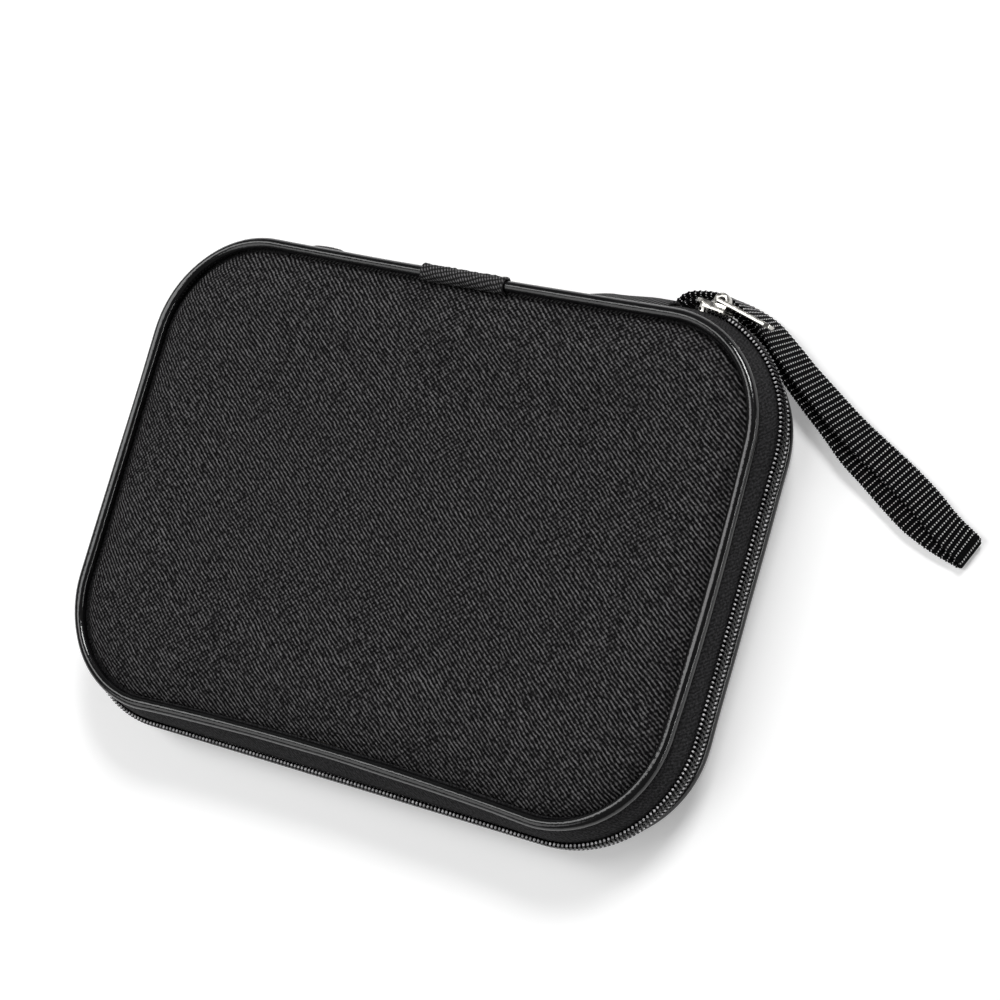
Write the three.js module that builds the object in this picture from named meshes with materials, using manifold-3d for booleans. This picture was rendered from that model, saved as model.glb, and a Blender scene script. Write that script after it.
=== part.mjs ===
// A slim zip case for a glucose meter: two padded panels edged with piping, joined by a coil
// zip round three sides and by a woven spine along the fourth, with a webbing wrist strap.
// Millimetres, +Z up. The case lies on its back panel with the spine towards +Y.
import * as THREE from 'three';
import { mergeVertices } from 'three/addons/utils/BufferGeometryUtils.js';
import Module from 'manifold-3d';

const wasm = await Module();
wasm.setup();

// Outline of the case, measured on the centreline of the piping
const caseLength = 171.5;
const caseWidth = 120.5;
const cornerRadius = 27.4;
const cornerHalfSteps = 4;

// Piping and the panels that it edges
const pipingSpan = 16.5;
const pipingDiameter = 2.9;
const pipingSides = 8;
const crownRise = 2.5;
const crownRun = 24;
const crownPower = 6;
const restInset = 17.3;
const rimDrop = 0.9;
const coverThickness = 0.7;
const foamThickness = 2.4;
const foamInset = 2.2;
const boardThickness = 0.9;
const boardInset = 1.2;
const liningThickness = 0.5;
const layerGap = 0.3;

// Tape sleeve over the butted ends of each piping
const pipingTabLength = 24;
const pipingTabThickness = 0.5;
const pipingTabGap = 0.2;
const pipingTabStart = -20;
const pipingTabSweep = 220;

// Coil zip
const zipBulge = 4.0;
const zipEndRun = 4.1;
const toothPitch = 1.067;
const toothReach = 0.25;
const toothDepth = 1.1;
const coilBack = 2.1;
const coilHalfThickness = 0.8;
const coilTapeGap = 0.32;
const tapeThickness = 0.56;
const tapeEdge = 0.8;
const tapeBend = 2.3;
const seamClearance = 0.45;
const seamReach = 2.3;
const seamShoulder = 0.4;

// Binding over the inner seam of each half
const bindingThickness = 0.5;
const bindingWidth = 2.8;
const bindingLip = 1.8;

// Woven spine
const spineThickness = 0.8;
const spineSteps = 8;
const zipEndGap = 0.3;
const strapSlot = 4.2;

// Zip slider, measured along the zip, across it and out from it
const sliderAngle = 8.5;
const sliderLength = 8.6;
const sliderWidth = 6.0;
const sliderTailWidth = 5.2;
const sliderInnerWidth = 4.8;
const sliderPlate = 0.9;
const sliderOuterGap = 0.3;
const sliderInnerGap = 0.62;
const sliderFlange = 0.5;
const sliderFlangeDrop = 0.8;
const wedgeLength = 2.4;
const wedgeWidth = 0.9;
const wedgeInset = 0.7;
const bailRadius = 2.1;
const bailBore = 1.2;
const bailWidth = 1.6;
const bailSetback = 1.6;

// Pull tab of the slider
const pullLength = 15;
const pullWidth = 4.4;
const pullThickness = 0.9;
const pullWindowGap = 0.35;
const pullDroop = 8;
const pullEyeRadius = 1.1;
const pullEyeInset = 2.4;

// Elastic bands on the back lining and the net pocket on the front lining
const bandThickness = 0.7;
const bandArch = 1.0;
const bandTack = 4;
const bandMargin = 10;
const meterBandSpan = 66;
const meterBandWidth = 26;
const lancingBandSpan = 24;
const vialBandSpan = 34;
const narrowBandWidth = 22;
const pocketMargin = 7;
const pocketDepth = 74;
const pocketThickness = 0.6;
const pocketHem = 7;
const pocketHemThickness = 1.0;

// Wrist strap: a loop of flat webbing. Each station gives the middle of the loop, with x and y from
// the centre of the case's corner by the slider and z from the floor, then the lean of the webbing
// from flat in degrees, and half the sideways and half the upright distance between its legs.
const strapWidth = 7;
const strapThickness = 1.3;
const strapStations = [
  [-6.15, 29.25, 4.1, 90, 0.85, 0.0],
  [-6.05, 31.75, 4.1, 90, 0.85, 0.0],
  [-4.35, 34.45, 4.0, 90, 0.85, 0.0],
  [-0.75, 35.45, 3.8, 90, 0.85, 0.0],
  [3.95, 34.95, 3.65, 88, 0.9, 0.0],
  [11.45, 32.45, 3.7, 82, 1.0, 0.05],
  [21.65, 25.65, 3.8, 72, 1.3, 0.25],
  [30.25, 18.35, 4.0, 62, 1.9, 0.6],
  [40.45, 11.15, 4.1, 54, 2.5, 0.85],
  [50.85, 4.85, 4.2, 48, 2.9, 1.1],
  [61.15, -1.15, 4.2, 43, 2.9, 1.3],
  [70.05, -6.35, 4.2, 40, 2.6, 1.4],
  [77.05, -10.65, 4.05, 38, 1.9, 1.3],
];
const strapSteps = 30;
const strapFoldSteps = 6;

// Heights counted from the zip plane, the same for both halves
const pipingRadius = pipingDiameter / 2;
const pipingHeight = pipingSpan / 2;
const zipPlane = crownRise + pipingHeight;
const rimInset = pipingRadius + pipingTabGap + pipingTabThickness + layerGap;
const coverRim = pipingHeight - rimDrop;
const coverTop = pipingHeight + crownRise;
const foamBottom = coverTop - coverThickness - layerGap - foamThickness;
const boardTop = foamBottom - layerGap;
const liningTop = boardTop - boardThickness - layerGap;
const liningFace = liningTop - liningThickness;
const seamHeight = pipingHeight - pipingRadius - seamClearance - tapeThickness / 2;
const tapeOffset = zipBulge - coilHalfThickness - coilTapeGap - tapeThickness / 2;

// Materials
const twill = new THREE.MeshStandardMaterial({ color: 0x2b2b2d, roughness: 0.9, metalness: 0 });
const vinyl = new THREE.MeshStandardMaterial({ color: 0x0d0d0e, roughness: 0.28, metalness: 0 });
const weave = new THREE.MeshStandardMaterial({ color: 0x151516, roughness: 0.85, metalness: 0 });
const nylon = new THREE.MeshStandardMaterial({ color: 0x1b1b1c, roughness: 0.5, metalness: 0 });
const nickel = new THREE.MeshStandardMaterial({ color: 0xc9c7c2, roughness: 0.25, metalness: 1 });
const liningCloth = new THREE.MeshStandardMaterial({ color: 0x1f1f21, roughness: 0.95, metalness: 0 });
const foam = new THREE.MeshStandardMaterial({ color: 0x3a3a3c, roughness: 1, metalness: 0 });
const board = new THREE.MeshStandardMaterial({ color: 0x6f675c, roughness: 0.9, metalness: 0 });

// A closed solid from points and triangles, with its faces turned outwards
function solid(points, triangles) {
  let volume = 0;
  const cross = new THREE.Vector3();
  for (const [a, b, c] of triangles) {
    volume += points[a].dot(cross.crossVectors(points[b], points[c]));
  }
  const order = volume < 0 ? triangles.map(([a, b, c]) => [a, c, b]) : triangles;
  const geometry = new THREE.BufferGeometry().setFromPoints(points);
  geometry.setIndex(order.flat());
  return geometry;
}

// Points that coincide become one, and faces that vanish with them are left out
function weld(geometry) {
  const merged = mergeVertices(geometry, 1e-4);
  const corners = merged.index.array;
  const kept = [];
  for (let i = 0; i < corners.length; i += 3) {
    const face = [...corners.slice(i, i + 3)];
    if (new Set(face).size === 3) {
      kept.push(...face);
    }
  }
  merged.setIndex(kept);
  return merged;
}

// Joins, cuts and meshes
function toManifold(geometry) {
  const bare = geometry.clone();
  bare.deleteAttribute('normal');
  bare.deleteAttribute('uv');
  const merged = mergeVertices(bare, 1e-4);
  const vertProperties = new Float32Array(merged.attributes.position.array);
  const triVerts = new Uint32Array(merged.index.array);
  return new wasm.Manifold(new wasm.Mesh({ numProp: 3, vertProperties, triVerts }));
}

function fromManifold(body) {
  const mesh = body.getMesh();
  const geometry = new THREE.BufferGeometry();
  geometry.setAttribute('position', new THREE.BufferAttribute(mesh.vertProperties, 3));
  geometry.setIndex(new THREE.BufferAttribute(mesh.triVerts, 1));
  return geometry;
}

function join(geometries) {
  const bodies = geometries.map(toManifold);
  return fromManifold(bodies.reduce((sum, body) => sum.add(body)));
}

function cut(geometry, tool) {
  return fromManifold(toManifold(geometry).subtract(toManifold(tool)));
}

function piece(name, geometry, material) {
  const mesh = new THREE.Mesh(geometry, material);
  mesh.name = name;
  return mesh;
}

// The rounded rectangle of the case, offset outwards from the piping's centreline
function cornerCentre(offset) {
  const radius = Math.max(cornerRadius + offset, 0.5);
  return { x: caseLength / 2 + offset - radius, y: caseWidth / 2 + offset - radius, radius };
}

function rimPath(offset) {
  const { x, y, radius } = cornerCentre(offset);
  const path = new THREE.Path();
  path.absarc(-x, y, radius, Math.PI / 2, Math.PI);
  path.absarc(-x, -y, radius, Math.PI, Math.PI * 1.5);
  path.absarc(x, -y, radius, Math.PI * 1.5, Math.PI * 2);
  path.absarc(x, y, radius, 0, Math.PI / 2);
  return path;
}

// The zip's track runs from one end of the spine round three sides to the other
const spineHalf = cornerCentre(0).x - zipEndRun;

function zipPath(offset) {
  const { x, y, radius } = cornerCentre(offset);
  const path = new THREE.Path();
  path.moveTo(-spineHalf, y + radius);
  path.lineTo(-x, y + radius);
  path.absarc(-x, y, radius, Math.PI / 2, Math.PI);
  path.absarc(-x, -y, radius, Math.PI, Math.PI * 1.5);
  path.absarc(x, -y, radius, Math.PI * 1.5, Math.PI * 2);
  path.absarc(x, y, radius, 0, Math.PI / 2);
  path.lineTo(spineHalf, y + radius);
  return path;
}

function outline(path, height) {
  return path.getPoints(cornerHalfSteps).map((p) => new THREE.Vector3(p.x, p.y, height));
}

function closedOutline(offset, height) {
  const points = outline(rimPath(offset), height);
  const repeats = points[0].distanceTo(points[points.length - 1]) < 1e-6;
  return repeats ? points.slice(0, -1) : points;
}

// Faces between neighbouring rings of equal length
function band(triangles, lower, upper, count, closed) {
  const steps = closed ? count : count - 1;
  for (let j = 0; j < steps; j += 1) {
    const k = (j + 1) % count;
    triangles.push([lower + j, lower + k, upper + k], [lower + j, upper + k, upper + j]);
  }
}

// A plate or cushion: outlines stacked one on the next and capped at both ends
function stackOutlines(profile, side) {
  return stackRings(profile.map(([offset, height]) => closedOutline(offset, zipPlane + side * height)));
}

function capFaces(ring) {
  return THREE.ShapeUtils.triangulateShape(ring.map((p) => new THREE.Vector2(p.x, p.y)), []);
}

function stackRings(rings) {
  const count = rings[0].length;
  const triangles = [];
  for (let i = 1; i < rings.length; i += 1) {
    band(triangles, (i - 1) * count, i * count, count, true);
  }
  const last = (rings.length - 1) * count;
  for (const [a, b, c] of capFaces(rings[0])) {
    triangles.push([a, c, b]);
  }
  for (const [a, b, c] of capFaces(rings[rings.length - 1])) {
    triangles.push([last + a, last + b, last + c]);
  }
  return solid(rings.flat(), triangles);
}

// A closed section, as [offset, height] points, swept all the way round the rim
function sweepRim(section, side) {
  const rings = section.map(([offset, height]) => closedOutline(offset, zipPlane + side * height));
  const count = rings[0].length;
  const triangles = [];
  rings.forEach((ring, i) => {
    band(triangles, i * count, ((i + 1) % rings.length) * count, count, true);
  });
  return solid(rings.flat(), triangles);
}

// The same section swept along the zip's track, with its ends closed
function sweepZip(section, side) {
  const rings = section.map(([offset, height]) => outline(zipPath(offset), zipPlane + side * height));
  const count = rings[0].length;
  const triangles = [];
  rings.forEach((ring, i) => {
    band(triangles, i * count, ((i + 1) % rings.length) * count, count, false);
  });
  const flat = section.map(([offset, height]) => new THREE.Vector2(offset, height));
  const turned = THREE.ShapeUtils.isClockWise(flat);
  for (const face of THREE.ShapeUtils.triangulateShape(flat, [])) {
    const [a, b, c] = turned ? face.toReversed() : face;
    triangles.push([a * count, b * count, c * count]);
    triangles.push([a, c, b].map((i) => i * count + count - 1));
  }
  return solid(rings.flat(), triangles);
}

// The section of a strip of cloth that follows a line of points, with mitred bends
function ribbon(line, thickness) {
  const points = line.map(([x, y]) => new THREE.Vector2(x, y));
  const half = thickness / 2;
  const near = [];
  const far = [];
  points.forEach((point, i) => {
    const before = points[Math.max(i - 1, 0)];
    const after = points[Math.min(i + 1, points.length - 1)];
    const into = (i ? point.clone().sub(before) : after.clone().sub(point)).normalize();
    const out = (i < points.length - 1 ? after.clone().sub(point) : into.clone()).normalize();
    const normal = new THREE.Vector2(-into.y - out.y, into.x + out.x).normalize();
    const reach = half / normal.dot(new THREE.Vector2(-into.y, into.x));
    near.push([point.x + normal.x * reach, point.y + normal.y * reach]);
    far.unshift([point.x - normal.x * reach, point.y - normal.y * reach]);
  });
  return [...near, ...far];
}

function shapeFrom(points) {
  return new THREE.Shape(points.map(([x, y]) => new THREE.Vector2(x, y)));
}

// A section in the (offset, height) plane of the spine's edge, extruded along X
function extrudeAlongEdge(section, from, to) {
  const depth = to - from;
  const geometry = new THREE.ExtrudeGeometry(shapeFrom(section), { depth, bevelEnabled: false });
  geometry.applyMatrix4(new THREE.Matrix4().makeBasis(
    new THREE.Vector3(0, 1, 0),
    new THREE.Vector3(0, 0, 1),
    new THREE.Vector3(1, 0, 0),
  ));
  geometry.translate(from, caseWidth / 2, zipPlane);
  return geometry;
}

// Padded panel: a crowned cloth cover over foam, a stiffening board and the lining
function crownHeight(inset) {
  const across = Math.min(inset / crownRun, 1);
  return coverRim + (coverTop - coverRim) * (1 - (1 - across) ** crownPower);
}

function panelCover() {
  const insets = [0, 0.8, 2.4, 6, 12, crownRun];
  const upper = insets.map((d) => [-rimInset - d, crownHeight(d)]);
  const lower = insets.map((d) => [-rimInset - d, crownHeight(d) - coverThickness]);
  return stackOutlines([...upper.toReversed(), ...lower], 1);
}

function panelFoam() {
  const insets = [foamInset, 6, 12, crownRun];
  const drop = coverThickness + layerGap;
  const upper = insets.map((d) => [-rimInset - d, crownHeight(d) - drop]);
  return stackOutlines([...upper.toReversed(), [-rimInset - foamInset, foamBottom]], 1);
}

// The back panel is pressed flat where the case lies on it: its crown ends in a plain rectangle
function restRing(drop) {
  const x = caseLength / 2 - rimInset - restInset;
  const y = caseWidth / 2 - rimInset - restInset;
  const z = zipPlane - coverTop + drop;
  return closedOutline(0, z).map((p) => new THREE.Vector3(Math.sign(p.x) * x, Math.sign(p.y) * y, z));
}

function crownRing(inset, drop) {
  return closedOutline(-rimInset - inset, zipPlane - crownHeight(inset) + drop);
}

function restCover() {
  const insets = [0, 0.8, 2.4];
  const outer = insets.map((d) => crownRing(d, 0)).toReversed();
  const inner = insets.map((d) => crownRing(d, coverThickness));
  return weld(stackRings([restRing(0), ...outer, ...inner, restRing(coverThickness)]));
}

function restFoam() {
  const drop = coverThickness + layerGap;
  const bottom = closedOutline(-rimInset - foamInset, zipPlane - foamBottom);
  return weld(stackRings([restRing(drop), crownRing(foamInset, drop), bottom]));
}

function panelSheet(top, thickness, side) {
  const offset = -rimInset - boardInset;
  return stackOutlines([[offset, top], [offset, top - thickness]], side);
}

function piping(side) {
  const section = [];
  for (let i = 0; i < pipingSides; i += 1) {
    const turn = ((i + 0.5) / pipingSides) * Math.PI * 2;
    section.push([Math.cos(turn) * pipingRadius, pipingHeight + Math.sin(turn) * pipingRadius]);
  }
  return sweepRim(section, side);
}

// Sleeve of woven tape round the joint of the piping, open towards the seam
function pipingTab(side) {
  const inner = pipingRadius + pipingTabGap;
  const arc = [];
  for (let i = 0; i <= pipingSides; i += 1) {
    const turn = THREE.MathUtils.degToRad(pipingTabStart + (pipingTabSweep * i) / pipingSides);
    arc.push([Math.cos(turn) * (inner + pipingTabThickness / 2),
      side * (pipingHeight + Math.sin(turn) * (inner + pipingTabThickness / 2))]);
  }
  return extrudeAlongEdge(ribbon(arc, pipingTabThickness), -pipingTabLength / 2, pipingTabLength / 2);
}

function seamBinding(side) {
  const height = liningFace - layerGap - bindingThickness / 2;
  const outer = -rimInset - boardInset;
  const line = [
    [outer - bindingWidth, height],
    [outer, height],
    [outer + bindingLip, height + layerGap],
  ];
  return sweepRim(ribbon(line, bindingThickness), side);
}

function zipTape(side) {
  const line = [
    [tapeOffset, tapeEdge],
    [tapeOffset, tapeBend],
    [seamShoulder, seamHeight],
    [-seamReach, seamHeight],
  ];
  return sweepZip(ribbon(line, tapeThickness), side);
}

// One half of the coil: a ridge whose edge zigzags, so that its points stand in the gaps of the
// other half. The two back edges need one point for every second tooth.
function zipCoil(side, phase, endTrim, tipAt) {
  const track = zipPath(zipBulge);
  const length = track.getLength();
  const teeth = Math.round(length / toothPitch);
  const pitch = length / teeth;
  const cells = Math.floor((length - endTrim) / pitch / 2);
  const place = (along, out, height) => {
    const share = Math.min(along / length, 1);
    const point = track.getPointAt(share);
    const tangent = track.getTangentAt(share);
    return new THREE.Vector3(
      point.x + tangent.y * out,
      point.y - tangent.x * out,
      zipPlane + side * height,
    );
  };
  const points = [];
  const triangles = [];
  const tipStart = (cell) => cell * 6;
  for (let cell = 0; cell <= cells; cell += 1) {
    const along = cell * 2 * pitch;
    points.push(place(along, coilHalfThickness, coilBack));
    points.push(place(along, -coilHalfThickness, coilBack));
    for (let i = 0; i < 4; i += 1) {
      const at = along + (i * pitch) / 2;
      const valley = toothDepth - toothReach;
      points.push(place(at, 0, (i + phase) % 2 ? tipAt(at, length) : valley));
    }
  }
  for (let cell = 0; cell < cells; cell += 1) {
    const a = tipStart(cell);
    const b = tipStart(cell + 1);
    const ridge = [a + 2, a + 3, a + 4, a + 5, b + 2];
    [0, 1].forEach((back) => {
      const fan = [
        [a + back, ridge[0], ridge[1]],
        [a + back, ridge[1], ridge[2]],
        [a + back, ridge[2], b + back],
        [b + back, ridge[2], ridge[3]],
        [b + back, ridge[3], ridge[4]],
      ];
      triangles.push(...(back ? fan : fan.map(([p, q, r]) => [p, r, q])));
    });
    triangles.push([a, b + 1, b], [a, a + 1, b + 1]);
  }
  const end = tipStart(cells);
  triangles.push([0, 2, 1], [end, end + 1, end + 2]);
  return solid(points.slice(0, end + 3), triangles);
}

// Slider: two plates joined by the wedge that parts the coil, with flanges and a bail for the pull
const sliderOuter = coilHalfThickness + sliderOuterGap;
const sliderInner = zipBulge - tapeOffset + tapeThickness / 2 + sliderInnerGap;
const sliderTop = sliderOuter + sliderPlate;
const bailHeight = sliderTop + bailRadius / 2;

// A shape drawn along and across the zip, thickened outwards from a given level
function plateAcross(shape, level, thickness) {
  const options = { depth: thickness, bevelEnabled: false, curveSegments: 6 };
  const geometry = new THREE.ExtrudeGeometry(shape, options);
  geometry.rotateX(-Math.PI / 2);
  geometry.translate(0, level, 0);
  return geometry;
}

function sliderShape(nose, tail) {
  const half = sliderLength / 2;
  const shape = new THREE.Shape();
  shape.moveTo(-half, 0);
  shape.quadraticCurveTo(-half, nose / 2, -half / 3, nose / 2);
  shape.lineTo(half, tail / 2);
  shape.lineTo(half, -tail / 2);
  shape.lineTo(-half / 3, -nose / 2);
  shape.quadraticCurveTo(-half, -nose / 2, -half, 0);
  return shape;
}

function zipSlider() {
  const half = sliderLength / 2;
  const outerPlate = plateAcross(sliderShape(sliderWidth, sliderTailWidth), sliderOuter, sliderPlate);
  const innerShape = sliderShape(sliderInnerWidth, sliderInnerWidth);
  const innerPlate = plateAcross(innerShape, -sliderInner - sliderPlate, sliderPlate);
  const wedgeStart = -half + wedgeInset;
  const wedge = new THREE.Shape();
  wedge.moveTo(wedgeStart, 0);
  wedge.lineTo(wedgeStart + wedgeLength / 3, wedgeWidth / 2);
  wedge.lineTo(wedgeStart + wedgeLength, 0);
  wedge.lineTo(wedgeStart + wedgeLength / 3, -wedgeWidth / 2);
  const sunk = sliderPlate / 2;
  const post = plateAcross(wedge, -sliderInner - sunk, sliderInner + sliderOuter + 2 * sunk);
  const flanges = [1, -1].map((sideways) => {
    const flange = new THREE.Shape();
    flange.moveTo(-half / 3, (sideways * sliderWidth) / 2);
    flange.lineTo(half, (sideways * sliderTailWidth) / 2);
    flange.lineTo(half, sideways * (sliderTailWidth / 2 - sliderFlange));
    flange.lineTo(-half / 3, sideways * (sliderWidth / 2 - sliderFlange));
    return plateAcross(flange, sliderOuter - sliderFlangeDrop, sliderFlangeDrop + sunk);
  });
  const arch = new THREE.Shape();
  arch.moveTo(bailSetback - bailRadius, sliderTop - sunk);
  arch.lineTo(bailSetback + bailRadius, sliderTop - sunk);
  arch.lineTo(bailSetback + bailRadius, bailHeight);
  arch.absarc(bailSetback, bailHeight, bailRadius, 0, Math.PI);
  const bore = new THREE.Path();
  bore.absarc(bailSetback, bailHeight, bailBore, 0, Math.PI * 2);
  arch.holes.push(bore);
  const bail = new THREE.ExtrudeGeometry(arch, { depth: bailWidth, bevelEnabled: false, curveSegments: 8 });
  bail.translate(0, 0, -bailWidth / 2);
  return join([outerPlate, innerPlate, post, ...flanges, bail]);
}

// Pull tab about its crossbar: a window for the bail and an eye at the far end
function zipPull() {
  const half = pullWidth / 2;
  const tab = new THREE.Shape();
  const bar = pullThickness / 2;
  tab.moveTo(-bar, -half);
  tab.lineTo(pullLength - half, -half);
  tab.absarc(pullLength - half, 0, half, -Math.PI / 2, Math.PI / 2);
  tab.lineTo(-bar, half);
  const windowHalf = bailWidth / 2 + pullWindowGap;
  const windowEnd = bailRadius + 2 * pullWindowGap;
  tab.holes.push(new THREE.Path([
    new THREE.Vector2(bar, -windowHalf),
    new THREE.Vector2(bar, windowHalf),
    new THREE.Vector2(windowEnd, windowHalf),
    new THREE.Vector2(windowEnd, -windowHalf),
  ]));
  const eye = new THREE.Path();
  eye.absarc(pullLength - pullEyeInset, 0, pullEyeRadius, 0, Math.PI * 2);
  tab.holes.push(eye);
  const geometry = plateAcross(tab, -pullThickness / 2, pullThickness);
  geometry.rotateZ(-THREE.MathUtils.degToRad(pullDroop));
  geometry.translate(bailSetback, bailHeight, 0);
  return geometry;
}

// The slider stands on the zip's corner arc by the spine, turned to the arc
const corner = cornerCentre(zipBulge);
const sliderTurn = THREE.MathUtils.degToRad(sliderAngle);
const sliderGroup = new THREE.Group();
sliderGroup.position.set(
  corner.x + corner.radius * Math.sin(sliderTurn),
  corner.y + corner.radius * Math.cos(sliderTurn),
  zipPlane,
);
sliderGroup.rotation.z = -sliderTurn;
sliderGroup.add(piece('zip_slider', zipSlider(), nickel), piece('zip_pull', zipPull(), nickel));
sliderGroup.updateMatrixWorld(true);

// The front tape is cut back at the slider, and its coil starts behind it
const sliderReach = sliderLength / 2 + zipEndGap;
const sliderFromEnd = zipEndRun + corner.radius * sliderTurn;
const frontCoilTrim = sliderFromEnd + sliderReach;

function sliderNotch() {
  const height = sliderWidth / 2 + layerGap + tapeEdge;
  const depth = sliderInner + sliderPlate + sliderTop;
  const notch = new THREE.BoxGeometry(2 * sliderReach, depth, height);
  notch.translate(0, (sliderTop - sliderInner - sliderPlate) / 2, height / 2 - tapeEdge);
  return notch.applyMatrix4(sliderGroup.matrixWorld);
}

// Past the wedge the points of the back coil are pressed down beside it
function backTip(along, length) {
  const fromWedge = length - along - sliderFromEnd - sliderLength / 4;
  const press = 1 - THREE.MathUtils.smoothstep(fromWedge, -sliderLength / 4, sliderLength / 4);
  return THREE.MathUtils.lerp(-toothReach, wedgeWidth / 2 + layerGap, press);
}

// Spine: one woven strip from seam to seam, bulged outwards like the zip
function spineTape() {
  const bulge = zipBulge + coilHalfThickness - spineThickness / 2;
  const line = [[-seamReach, -seamHeight]];
  for (let i = 0; i <= spineSteps; i += 1) {
    const rise = (2 * i) / spineSteps - 1;
    line.push([seamShoulder + (bulge - seamShoulder) * (1 - rise * rise), rise * seamHeight]);
  }
  line.push([-seamReach, seamHeight]);
  const end = spineHalf - zipEndGap;
  return extrudeAlongEdge(ribbon(line, spineThickness), -end, end - strapSlot);
}

// Elastic band, tacked to the lining at both ends and slack between them
function elasticBand(span, width, x) {
  const low = -liningFace + layerGap + bandThickness / 2;
  const half = span / 2;
  const line = [
    [-half, low],
    [-half + bandTack, low],
    [-half / 2, low + bandArch],
    [half / 2, low + bandArch],
    [half - bandTack, low],
    [half, low],
  ];
  const strip = shapeFrom(ribbon(line, bandThickness));
  const geometry = new THREE.ExtrudeGeometry(strip, { depth: width, bevelEnabled: false });
  geometry.rotateX(Math.PI / 2);
  geometry.translate(x, width / 2, zipPlane);
  return geometry;
}

// Net pocket on the front lining, open towards the spine, with a hemmed mouth
const pocketOffset = -rimInset - boardInset - pocketMargin;
const pocketFloor = -caseWidth / 2 - pocketOffset;
const pocketMouth = pocketFloor + pocketDepth;

function pocketNet() {
  const { x, y, radius } = cornerCentre(pocketOffset);
  const right = x + radius;
  const shape = new THREE.Shape();
  shape.moveTo(-right, pocketMouth - pocketHem - layerGap);
  shape.lineTo(-right, -y);
  shape.absarc(-x, -y, radius, Math.PI, Math.PI * 1.5);
  shape.absarc(x, -y, radius, Math.PI * 1.5, Math.PI * 2);
  shape.lineTo(right, pocketMouth - pocketHem - layerGap);
  const geometry = new THREE.ExtrudeGeometry(shape, {
    depth: pocketThickness,
    bevelEnabled: false,
    curveSegments: cornerHalfSteps * 2,
  });
  geometry.translate(0, 0, zipPlane + liningFace - layerGap - pocketThickness);
  return geometry;
}

function pocketHemStrip() {
  const { x, radius } = cornerCentre(pocketOffset);
  const geometry = new THREE.BoxGeometry(2 * (x + radius), pocketHem, pocketHemThickness);
  const height = liningFace - layerGap - pocketHemThickness / 2;
  geometry.translate(0, pocketMouth - pocketHem / 2, zipPlane + height);
  return geometry;
}

// Strap: out along the upper leg, round the fold and back along the lower one
function wristStrap() {
  const { x: cornerX, y: cornerY } = cornerCentre(0);
  const route = new THREE.CatmullRomCurve3(strapStations.map(
    ([x, y, z]) => new THREE.Vector3(cornerX + x, cornerY + y, z),
  ));
  const lean = new THREE.CatmullRomCurve3(strapStations.map(
    ([, , , tilt, sideways, rise]) => new THREE.Vector3(tilt, sideways, rise),
  ));
  const up = new THREE.Vector3(0, 0, 1);
  const stations = [];
  for (let i = 0; i <= strapSteps; i += 1) {
    const middle = route.getPoint(i / strapSteps);
    const ahead = route.getTangent(i / strapSteps);
    const { x: tilt, y: sideways, z: rise } = lean.getPoint(i / strapSteps);
    const left = new THREE.Vector3().crossVectors(up, ahead).normalize();
    const raised = new THREE.Vector3().crossVectors(ahead, left);
    const turn = THREE.MathUtils.degToRad(tilt);
    const facing = left.clone().multiplyScalar(Math.sin(turn)).addScaledVector(raised, Math.cos(turn));
    const across = new THREE.Vector3().crossVectors(ahead, facing);
    const apart = left.clone().multiplyScalar(sideways).addScaledVector(up, rise);
    stations.push({ middle, ahead, facing, across, apart });
  }
  const rings = stations.map((s) => ({ at: s.middle.clone().add(s.apart), out: s.facing, across: s.across }));
  const tip = stations[strapSteps];
  const foldRadius = tip.apart.length();
  for (let i = 1; i < strapFoldSteps; i += 1) {
    const turn = (i / strapFoldSteps) * Math.PI;
    const at = tip.middle.clone().addScaledVector(tip.apart, Math.cos(turn));
    at.addScaledVector(tip.ahead, foldRadius * Math.sin(turn));
    const out = tip.facing.clone().multiplyScalar(Math.cos(turn)).addScaledVector(tip.ahead, Math.sin(turn));
    rings.push({ at, out, across: tip.across });
  }
  for (const s of stations.toReversed()) {
    rings.push({ at: s.middle.clone().sub(s.apart), out: s.facing.clone().negate(), across: s.across });
  }
  const corners = [[1, 1], [-1, 1], [-1, -1], [1, -1]];
  const points = rings.flatMap(({ at, out, across }) => corners.map(([w, t]) => at.clone()
    .addScaledVector(across, (w * strapWidth) / 2)
    .addScaledVector(out, (t * strapThickness) / 2)));
  const triangles = [[0, 2, 1], [0, 3, 2]];
  for (let i = 1; i < rings.length; i += 1) {
    band(triangles, (i - 1) * 4, i * 4, 4, true);
  }
  const end = points.length - 4;
  triangles.push([end, end + 1, end + 2], [end, end + 2, end + 3]);
  return solid(points, triangles);
}

// The front half, carried by the lid
const front = new THREE.Group();
front.add(
  piece('front_cover', panelCover(), twill),
  piece('front_foam', panelFoam(), foam),
  piece('front_board', panelSheet(boardTop, boardThickness, 1), board),
  piece('front_lining', panelSheet(liningTop, liningThickness, 1), liningCloth),
  piece('front_piping', piping(1), vinyl),
  piece('front_piping_tab', pipingTab(1), weave),
  piece('front_zip_tape', cut(zipTape(1), sliderNotch()), weave),
  piece('front_zip_coil', zipCoil(1, 0, frontCoilTrim, () => -toothReach), nylon),
  piece('front_seam_binding', seamBinding(1), weave),
  piece('net_pocket', pocketNet(), liningCloth),
  piece('pocket_hem', pocketHemStrip(), weave),
);

// The back half, which the case lies on
const back = new THREE.Group();
back.add(
  piece('back_cover', restCover(), twill),
  piece('back_foam', restFoam(), foam),
  piece('back_board', panelSheet(boardTop, boardThickness, -1), board),
  piece('back_lining', panelSheet(liningTop, liningThickness, -1), liningCloth),
  piece('back_piping', piping(-1), vinyl),
  piece('back_piping_tab', pipingTab(-1), weave),
  piece('back_zip_tape', zipTape(-1), weave),
  piece('back_zip_coil', zipCoil(-1, 1, 0, backTip), nylon),
  piece('back_seam_binding', seamBinding(-1), weave),
  piece('spine_tape', spineTape(), weave),
);

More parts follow.
